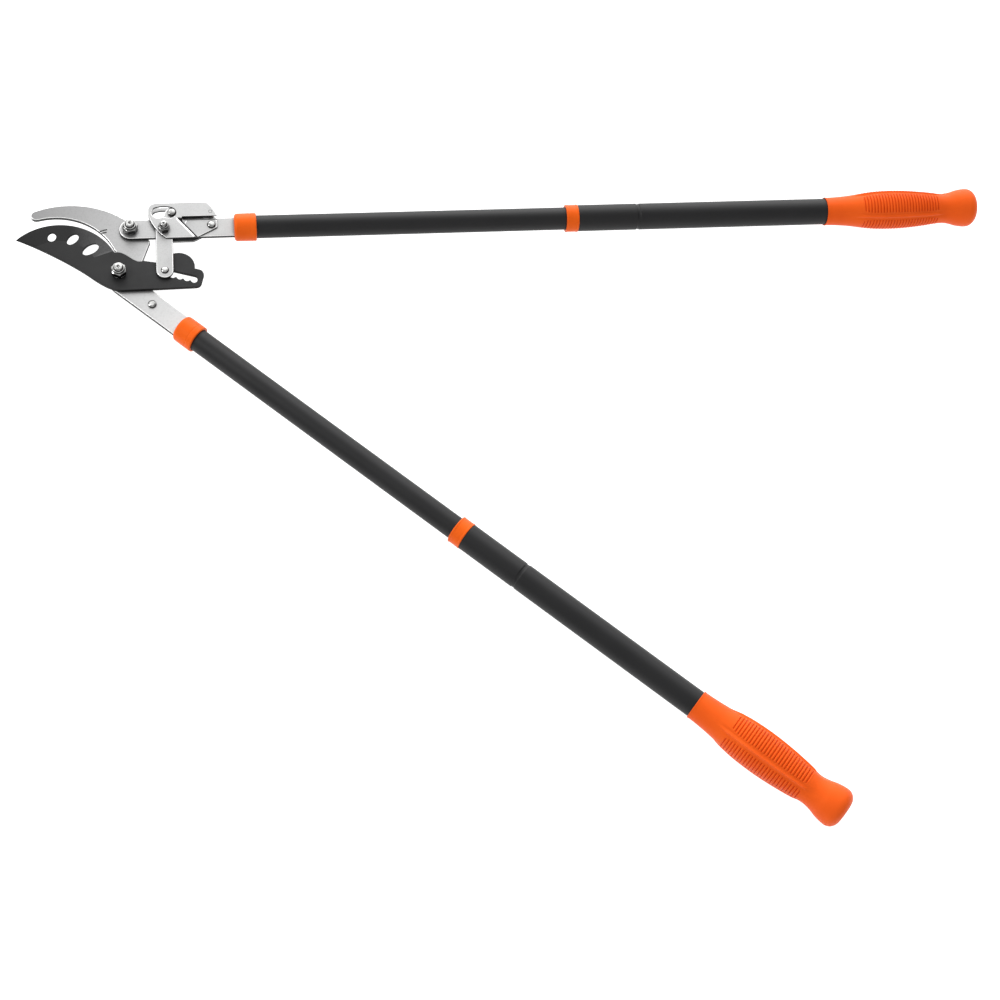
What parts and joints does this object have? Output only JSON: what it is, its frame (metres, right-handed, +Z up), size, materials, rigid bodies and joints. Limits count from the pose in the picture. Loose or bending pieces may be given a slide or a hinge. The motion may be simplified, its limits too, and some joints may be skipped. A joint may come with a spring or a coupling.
{
  "type": "bypass loppers",
  "caption": "Two-handed bypass loppers with a ratchet linkage, a hooked jaw, a pierced black blade and twist-lock telescopic handles with orange grips.",
  "frame": {"origin": "on the main pivot's axis, at the underside of its bolt head, with the tool lying flat", "axes": "+X along the upper handle towards its grip, +Z up out of the plane of the blades towards the nuts, +Y from the lower handle to the upper one"},
  "size_m": [0.9646, 0.6626, 0.0424],
  "materials": {
    "black_steel": "matt black non-stick coating on the blade",
    "satin_steel": "satin bead-blasted plated steel",
    "zinc_hardware": "bright zinc plate",
    "spring_steel": "oiled spring wire",
    "orange_plastic": "semi-gloss moulded orange",
    "black_plastic": "moulded, matt",
    "black_tube": "satin black powder coat",
    "orange_grip": "soft satin moulded grip with cross ribs"
  },
  "bodies": {
    "fixed_jaw": {"hook_jaw": "satin_steel", "main_pivot_bolt": "zinc_hardware", "main_pivot_washer": "zinc_hardware", "main_pivot_nut": "zinc_hardware", "handle_pivot_bolt": "zinc_hardware", "handle_pivot_washer": "zinc_hardware", "handle_pivot_nut": "zinc_hardware", "stop_stud": "zinc_hardware", "lower_collar": "orange_plastic", "lower_tang_insert": "black_plastic", "lower_tang_rivet": "zinc_hardware", "lower_inner_tube": "black_tube", "lower_stop_plug": "black_plastic"},
    "blade": {"cutting_blade": "black_steel"},
    "upper_handle": {"upper_lever": "satin_steel", "front_ratchet_plate": "satin_steel", "rear_ratchet_plate": "satin_steel", "link_bush": "zinc_hardware", "link_pivot_bolt": "zinc_hardware", "link_pivot_nut": "zinc_hardware", "spring_anchor_pin": "zinc_hardware", "ratchet_spring": "spring_steel", "plate_rivet": "zinc_hardware", "upper_collar": "orange_plastic", "upper_tang_insert": "black_plastic", "upper_tang_rivet": "zinc_hardware", "upper_inner_tube": "black_tube", "upper_stop_plug": "black_plastic"},
    "link": {"ratchet_link": "satin_steel", "ratchet_pin": "zinc_hardware", "link_stop_pin": "zinc_hardware"},
    "upper_lock": {"upper_lock_cam": "orange_plastic"},
    "lower_lock": {"lower_lock_cam": "orange_plastic"},
    "upper_extension": {"upper_lock_ring": "orange_plastic", "upper_outer_tube": "black_tube", "upper_end_plug": "black_plastic", "upper_grip": "orange_grip"},
    "lower_extension": {"lower_lock_ring": "orange_plastic", "lower_outer_tube": "black_tube", "lower_end_plug": "black_plastic", "lower_grip": "orange_grip"}
  },
  "joints": [
    {"name": "upper_handle_swing", "type": "hinge", "parent": "fixed_jaw", "child": "upper_handle", "pos_m": [0.012, 0.0482, 0.0094], "axis": [0, 0, 1], "range_deg": [-8.5, 30]},
    {"name": "blade_swing", "type": "hinge", "parent": "fixed_jaw", "child": "blade", "pos_m": [0, 0, 0.0094], "axis": [0, 0, 1], "range_deg": [-7.14, 25.2]},
    {"name": "link_swing", "type": "hinge", "parent": "upper_handle", "child": "link", "pos_m": [0.044, 0.045, 0.013], "axis": [0, 0, 1], "range_deg": [-4.8, 1.36]},
    {"name": "upper_lock_twist", "type": "hinge", "parent": "upper_handle", "child": "upper_lock", "pos_m": [0.1324, 0.0482, 0.01115], "axis": [1, 0, 0], "range_deg": [0, 90]},
    {"name": "upper_telescope", "type": "slide", "parent": "upper_lock", "child": "upper_extension", "axis": [-1, 0, 0], "range_m": [0, 0.29]},
    {"name": "lower_lock_twist", "type": "hinge", "parent": "fixed_jaw", "child": "lower_lock", "pos_m": [0.07152, -0.07334, 0.0073], "axis": [0.7349, -0.6782, 0], "range_deg": [0, 90]},
    {"name": "lower_telescope", "type": "slide", "parent": "lower_lock", "child": "lower_extension", "axis": [-0.7349, 0.6782, 0], "range_m": [0, 0.29]}
  ],
  "couplings": [
    {"joint": "blade_swing", "follows": "upper_handle_swing", "ratio": 0.84},
    {"joint": "link_swing", "follows": "upper_handle_swing", "ratio": -0.16}
  ]
}
